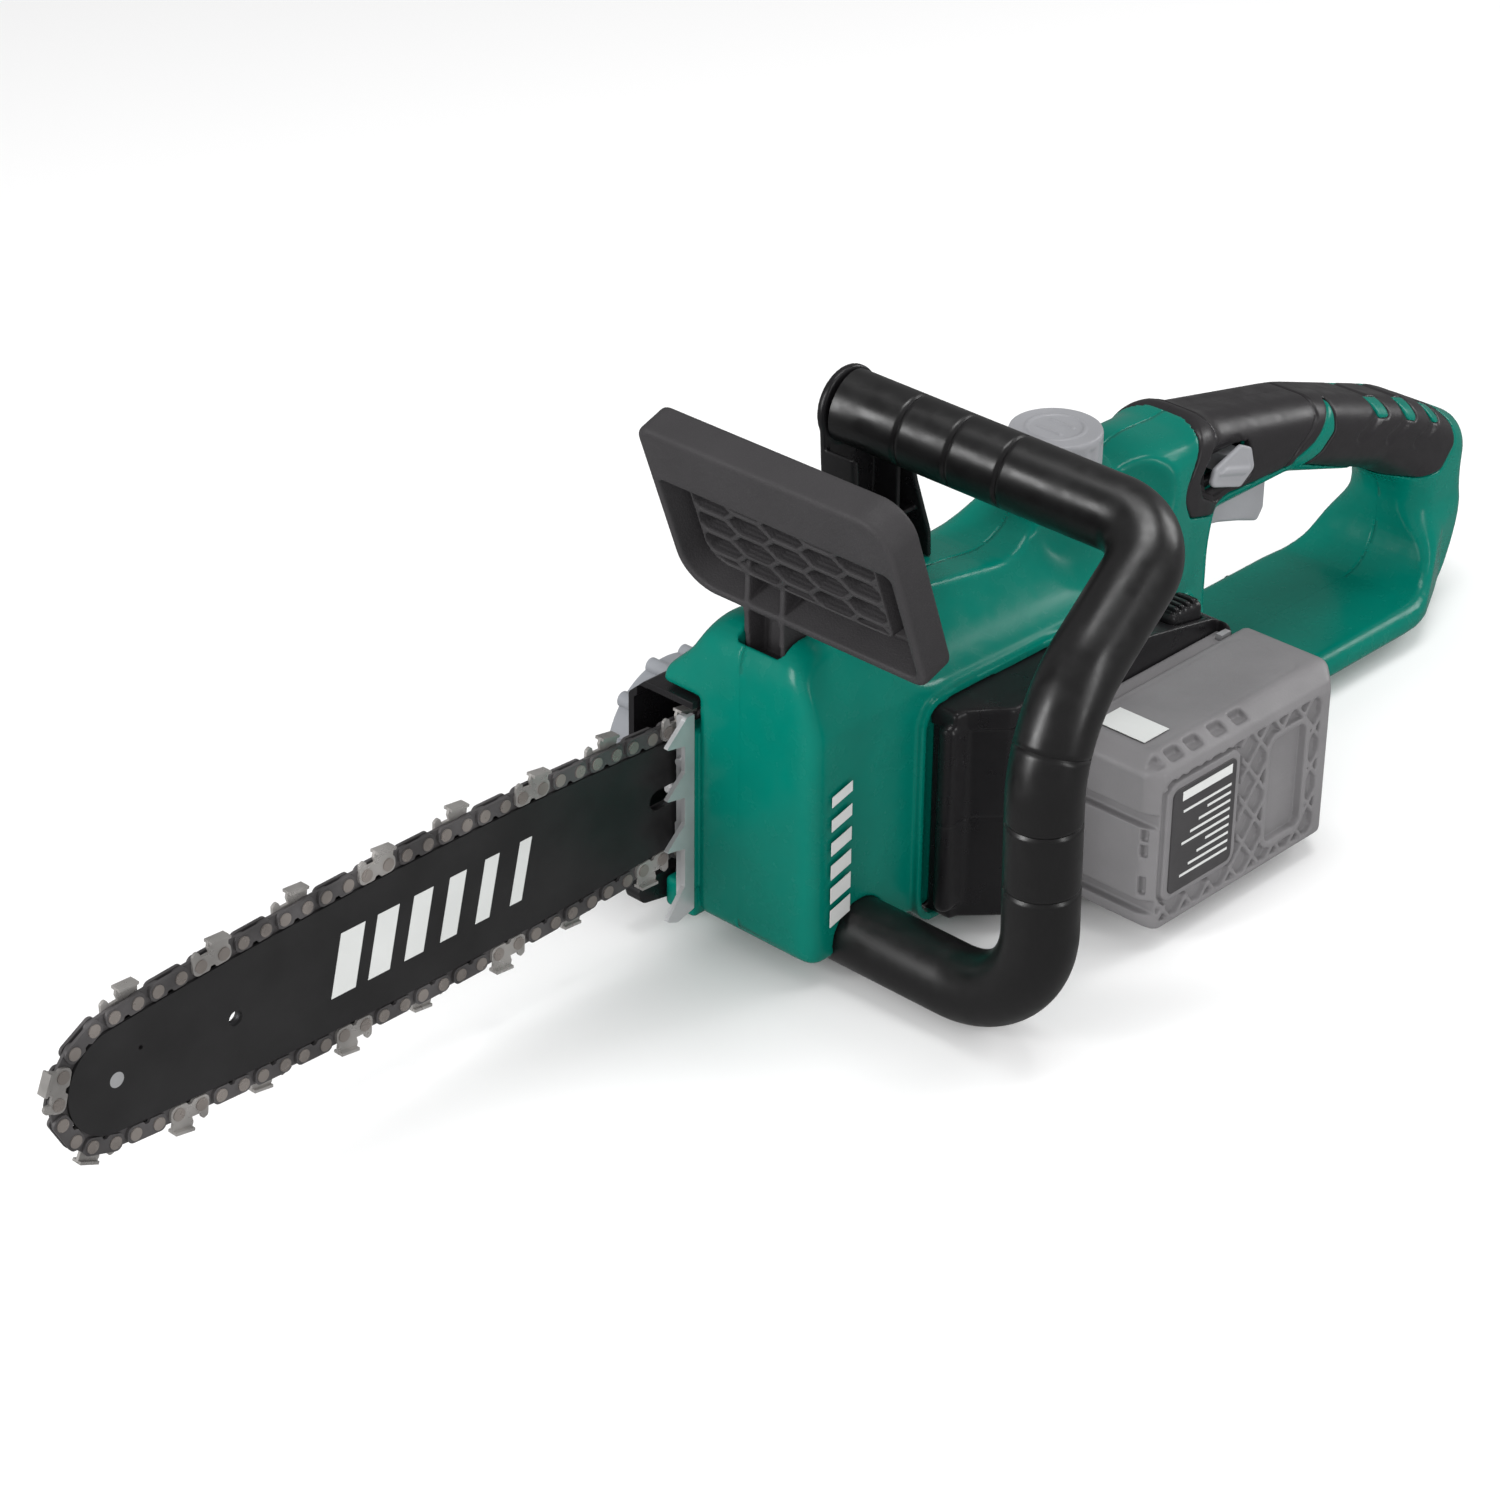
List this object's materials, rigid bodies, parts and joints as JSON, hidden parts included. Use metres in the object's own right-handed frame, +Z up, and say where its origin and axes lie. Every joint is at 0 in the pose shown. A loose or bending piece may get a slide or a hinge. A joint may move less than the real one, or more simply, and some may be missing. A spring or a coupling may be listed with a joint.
{
  "type": "cordless chainsaw",
  "caption": "Battery chainsaw with a toothed chain on a guide bar, a wrap-round front handle, a leaning hand guard and a rear handle loop with a trigger.",
  "frame": {"origin": "on the plane the saw stands on, under the front rubber foot, below the seam between the two housing halves", "axes": "+X towards the bar's nose, +Y to the operator's left, +Z up"},
  "size_m": [0.7589, 0.2105, 0.2244],
  "materials": {
    "green_shell": "moulded green plastic with a light sheen",
    "black_plastic": "moulded black plastic, satin",
    "guard_plastic": "charcoal plastic with a fine texture",
    "grip_rubber": "soft black overmould",
    "tube_black": "smooth satin black",
    "light_grey": "light grey plastic",
    "pack_grey": "mid grey plastic",
    "mid_grey": "grey plastic",
    "bar_black": "black painted steel, satin",
    "chain_dark": "dark blued steel",
    "cutter_steel": "lighter ground steel",
    "rivet_steel": "polished brownish steel",
    "zinc": "bright zinc plated steel",
    "steel": "machined steel",
    "dark_steel": "oiled steel",
    "sintered": "sintered metal",
    "copper": "copper",
    "brass": "brass",
    "clear_tank": "milky oil tank plastic",
    "board_green": "circuit board",
    "wire_red": "insulated lead",
    "rubber_black": "black rubber",
    "cell_wrap": "wrapped cells"
  },
  "bodies": {
    "saw_body": {"body_shell_left": "green_shell", "body_shell_right": "green_shell", "grip_skin_left": "grip_rubber", "grip_skin_right": "grip_rubber", "housing_screws": "dark_steel", "feet": "rubber_black", "motor_housing": "black_plastic", "dock_rails": "steel", "terminal_block": "brass", "bar_stud": "steel", "bar_pad": "steel", "spike_bumper": "zinc", "spike_screws": "zinc", "chain_drive_links": "chain_dark", "chain_tie_straps": "chain_dark", "chain_cutters": "cutter_steel", "chain_rivets": "rivet_steel", "chain_catcher": "black_plastic", "sprocket_cover": "black_plastic", "motor_can": "steel", "motor_magnets": "sintered", "bearings": "steel", "gearbox_plate": "steel", "brake_band": "steel", "oil_tank": "clear_tank", "oil_pump": "brass", "oil_hose": "rubber_black", "controller_board": "board_green", "wiring": "wire_red", "trigger_switch": "black_plastic", "trigger_pin": "steel", "trigger_spring": "steel", "handle_tube": "tube_black", "handle_bracket": "black_plastic", "guard_pin": "steel"},
    "guide_bar": {"bar_side_plates": "bar_black", "bar_core": "dark_steel", "nose_rivet": "steel", "tension_pin": "steel"},
    "nose_wheel": {"nose_sprocket": "dark_steel"},
    "drive_train": {"drive_sprocket": "sintered", "drive_spindle": "steel", "brake_drum": "sintered", "output_gear": "sintered"},
    "motor_rotor": {"motor_shaft": "steel", "armature": "copper", "cooling_fan": "black_plastic", "pinion": "steel"},
    "front_guard": {"hand_guard": "guard_plastic"},
    "brake_pull": {"brake_link": "zinc"},
    "throttle": {"trigger": "light_grey"},
    "lock_off": {"lock_off_button": "light_grey"},
    "oil_seal": {"cap_seal": "rubber_black"},
    "filler_cap": {"oil_cap": "light_grey"},
    "clamp_washer": {"knob_washer": "zinc"},
    "clamp_knob": {"lock_knob": "black_plastic"},
    "adjuster_ring": {"tension_ring": "mid_grey"},
    "battery_pack": {"battery_case": "pack_grey", "battery_cells": "cell_wrap"},
    "dock_button": {"pack_release": "black_plastic"}
  },
  "joints": [
    {"name": "tension_ring_turn", "type": "hinge", "parent": "saw_body", "child": "adjuster_ring", "pos_m": [-0.003, -0.064, 0.061], "axis": [0, 1, 0], "range_deg": [-180, 0]},
    {"name": "bar_tension", "type": "slide", "parent": "saw_body", "child": "guide_bar", "axis": [1, 0, 0], "range_m": [-0.002, 0]},
    {"name": "drive_spin", "type": "hinge", "parent": "saw_body", "child": "drive_train", "pos_m": [-0.0601, -0.02, 0.061], "axis": [0, 1, 0], "continuous": true, "deforming": ["chain_drive_links"]},
    {"name": "nose_spin", "type": "hinge", "parent": "guide_bar", "child": "nose_wheel", "pos_m": [0.3, -0.033, 0.061], "axis": [0, 1, 0], "continuous": true},
    {"name": "motor_spin", "type": "hinge", "parent": "saw_body", "child": "motor_rotor", "pos_m": [-0.0976, 0.02, 0.061], "axis": [0, 1, 0], "continuous": true},
    {"name": "guard_swing", "type": "hinge", "parent": "saw_body", "child": "front_guard", "pos_m": [0.012, 0.006, 0.122], "axis": [0, 1, 0], "range_deg": [0, 13]},
    {"name": "brake_pull_slide", "type": "slide", "parent": "saw_body", "child": "brake_pull", "axis": [1, 0, 0], "range_m": [-0.0028, 0]},
    {"name": "trigger_pull", "type": "hinge", "parent": "saw_body", "child": "throttle", "pos_m": [-0.243, 0, 0.106], "axis": [0, 1, 0], "range_deg": [0, 9], "stiffness_Nm_per_rad": 0.6, "deforming": ["trigger_spring"]},
    {"name": "lock_off_slide", "type": "slide", "parent": "saw_body", "child": "lock_off", "axis": [1, 0, 0], "range_m": [0, 0.004], "stiffness_N_per_m": 150},
    {"name": "oil_cap_lift", "type": "slide", "parent": "saw_body", "child": "oil_seal", "axis": [0, 0, 1], "range_m": [0, 0.008]},
    {"name": "oil_cap_turn", "type": "hinge", "parent": "oil_seal", "child": "filler_cap", "pos_m": [-0.15, 0.002, 0.15], "axis": [0, 0, 1], "range_deg": [0, 720]},
    {"name": "knob_lift", "type": "slide", "parent": "saw_body", "child": "clamp_washer", "axis": [0, -1, 0], "range_m": [0, 0.00375]},
    {"name": "knob_turn", "type": "hinge", "parent": "clamp_washer", "child": "clamp_knob", "pos_m": [-0.003, -0.064, 0.061], "axis": [0, 1, 0], "range_deg": [0, 1080]},
    {"name": "battery_slide", "type": "slide", "parent": "saw_body", "child": "battery_pack", "axis": [0, 0, 1], "range_m": [0, 0.09]},
    {"name": "dock_button_press", "type": "slide", "parent": "saw_body", "child": "dock_button", "axis": [0, 0, 1], "range_m": [-0.002, 0], "stiffness_N_per_m": 200}
  ],
  "couplings": [
    {"joint": "tension_ring_turn", "follows": "bar_tension", "rad_per_m": 1570.8},
    {"joint": "nose_spin", "follows": "drive_spin", "ratio": 0.75},
    {"joint": "motor_spin", "follows": "drive_spin", "ratio": -3},
    {"joint": "brake_pull_slide", "follows": "guard_swing", "m_per_rad": -0.012},
    {"joint": "oil_cap_lift", "follows": "oil_cap_turn", "m_per_rad": 0.00063662},
    {"joint": "knob_lift", "follows": "knob_turn", "m_per_rad": 0.00019894}
  ]
}
